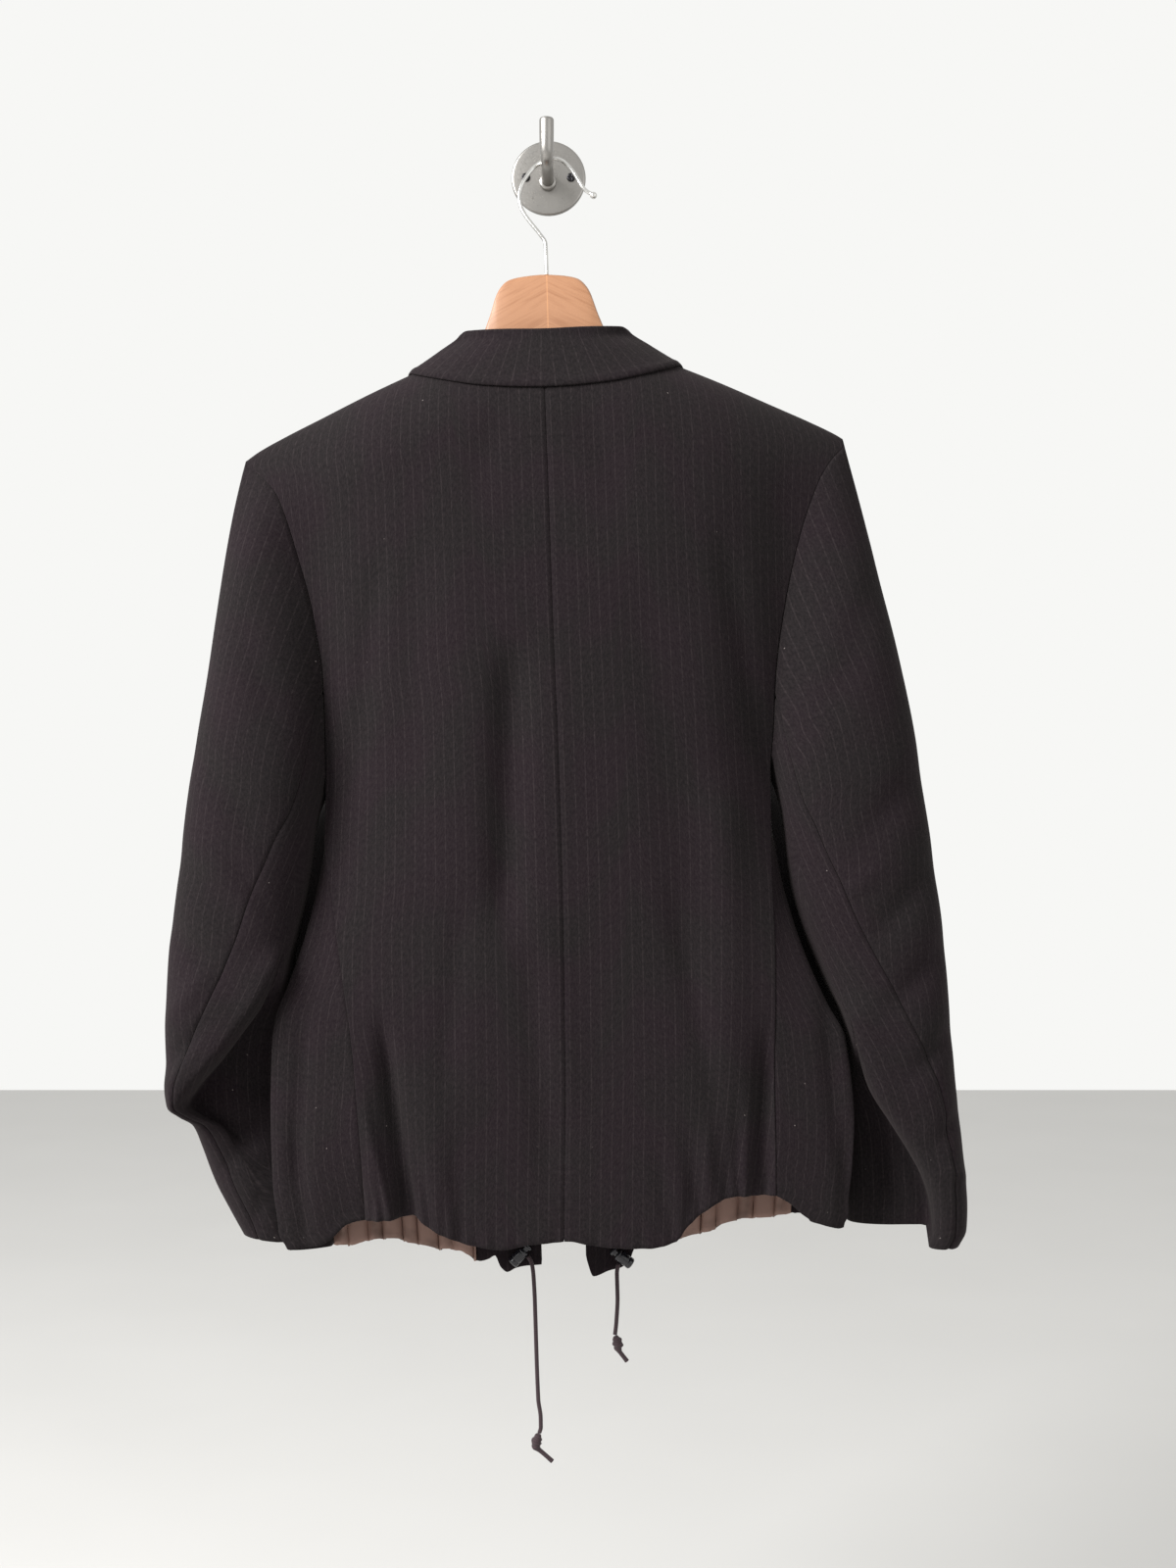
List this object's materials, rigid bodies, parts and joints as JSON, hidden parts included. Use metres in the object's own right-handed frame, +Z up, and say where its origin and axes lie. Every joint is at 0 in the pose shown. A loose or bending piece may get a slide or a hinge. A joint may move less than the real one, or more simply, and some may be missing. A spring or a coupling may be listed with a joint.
{
  "type": "drawstring jacket with hanger and wall hook",
  "caption": "Short charcoal wool jacket with faint pinstripes, turn-down collar and drawstring hem, hung back outward on a wooden hanger from a round wall hook",
  "frame": {"origin": "centre of the wall plate's back face, on the wall", "axes": "x to the right as seen from the room, +Y into the wall, +Z up"},
  "size_m": [0.5934, 0.115, 1.0262],
  "materials": {
    "wool": "brushed charcoal wool with a faint light pinstripe",
    "lining": "thin matt brown lining",
    "cord": "braided plum-brown cord",
    "lock": "glossy black moulded plastic",
    "wood": "pale lacquered wood",
    "nickel": "satin nickel",
    "screw": "dark plated screw heads"
  },
  "bodies": {
    "root": {"back_left": "wool", "back_right": "wool", "side_left": "wool", "side_right": "wool", "front_left": "wool", "front_right": "wool", "sleeve_left_upper": "wool", "sleeve_left_under": "wool", "sleeve_right_upper": "wool", "sleeve_right_under": "wool", "collar_stand": "wool", "collar_fall": "wool", "facing_left": "wool", "facing_right": "wool", "lining_left": "lining", "lining_right": "lining", "cord_left": "cord", "cord_right": "cord", "knot_left": "cord", "knot_right": "cord", "lock_barrel_left": "lock", "lock_barrel_right": "lock", "hanger_bar": "wood", "hanger_hook": "nickel", "hook_plate": "nickel", "hook_peg": "nickel", "hook_screw_left": "screw", "hook_screw_right": "screw"},
    "plunger_left": {"lock_plunger_left": "lock"},
    "plunger_right": {"lock_plunger_right": "lock"}
  },
  "joints": [
    {"name": "plunger_left_press", "type": "slide", "parent": "root", "child": "plunger_left", "axis": [-0.6786, 0, -0.7345], "range_m": [0, 0.0022], "stiffness_N_per_m": 300},
    {"name": "plunger_right_press", "type": "slide", "parent": "root", "child": "plunger_right", "axis": [0.8079, 0, -0.5893], "range_m": [0, 0.0022], "stiffness_N_per_m": 300}
  ]
}
